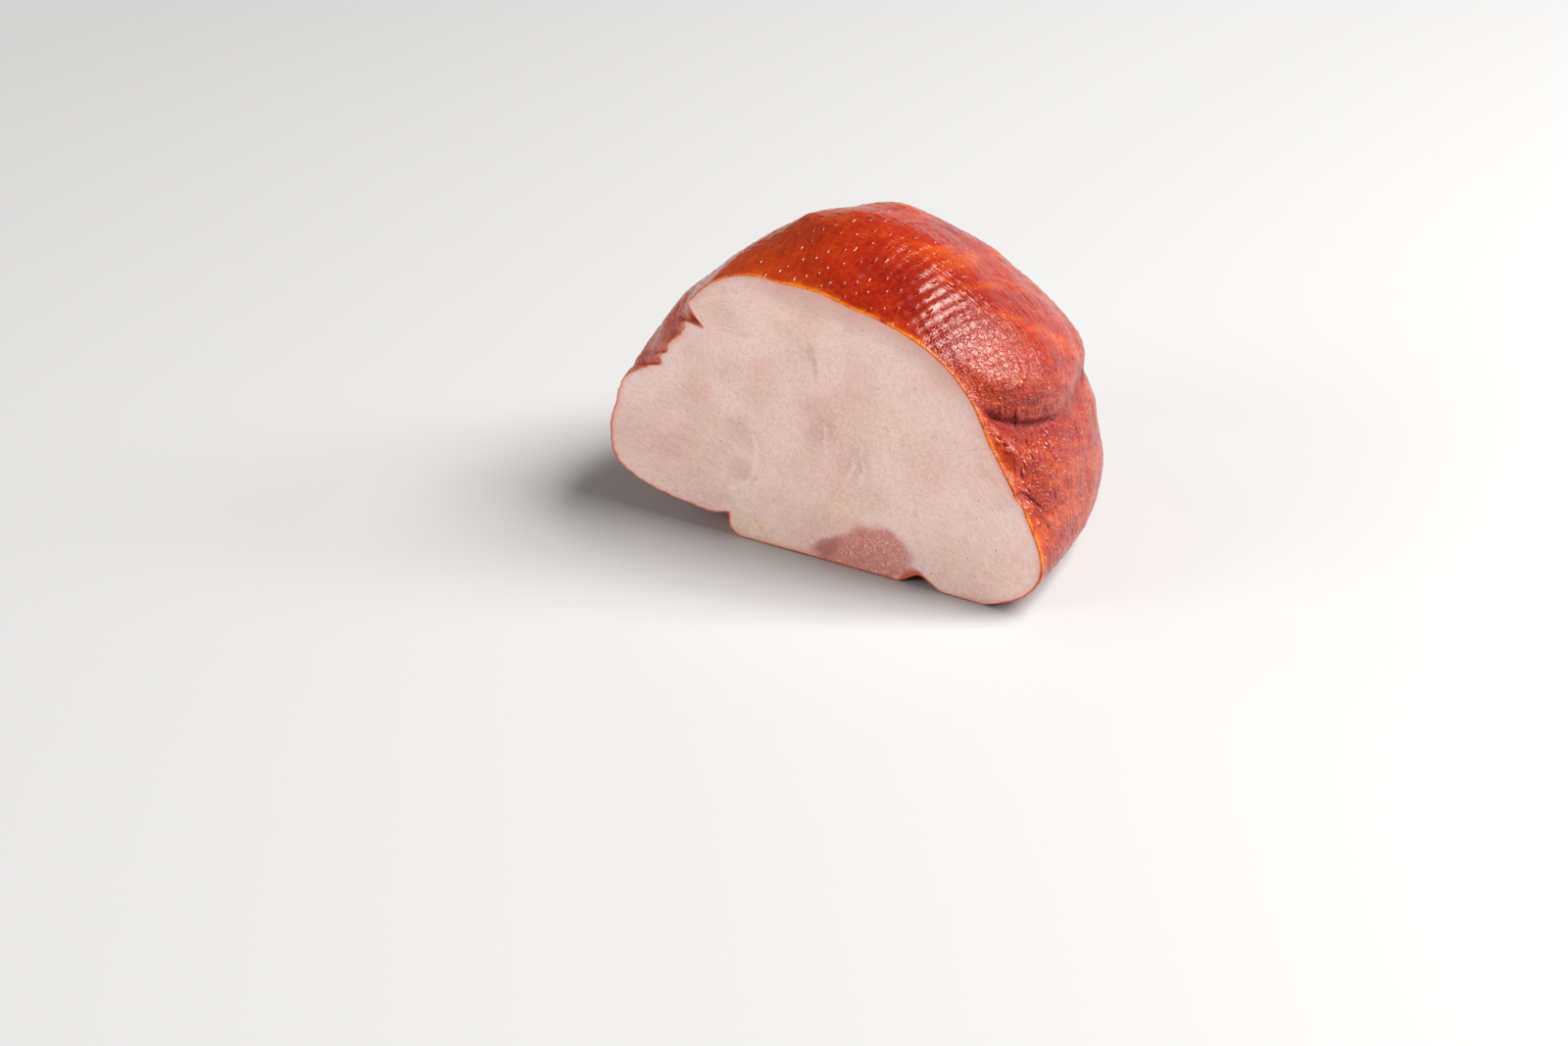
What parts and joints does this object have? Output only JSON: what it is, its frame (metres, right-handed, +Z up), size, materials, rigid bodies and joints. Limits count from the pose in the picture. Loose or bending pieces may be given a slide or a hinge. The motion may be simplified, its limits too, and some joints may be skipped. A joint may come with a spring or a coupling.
{
  "type": "leg ham",
  "caption": "Half of a boneless smoked leg ham, cut across once: pale pink meat on the cut face, glossy orange-red skin around it.",
  "frame": {"origin": "middle of the bounding box, on the plane the ham rests on", "axes": "+Z up; +X along the cut face's length, to the right seen from in front of it; -Y out of the cut face, +Y back to the closed rear end"},
  "size_m": [0.1793, 0.126, 0.1175],
  "materials": {
    "ham": "gloss"
  },
  "bodies": {
    "root": {"leg_ham": "ham"}
  },
  "joints": []
}
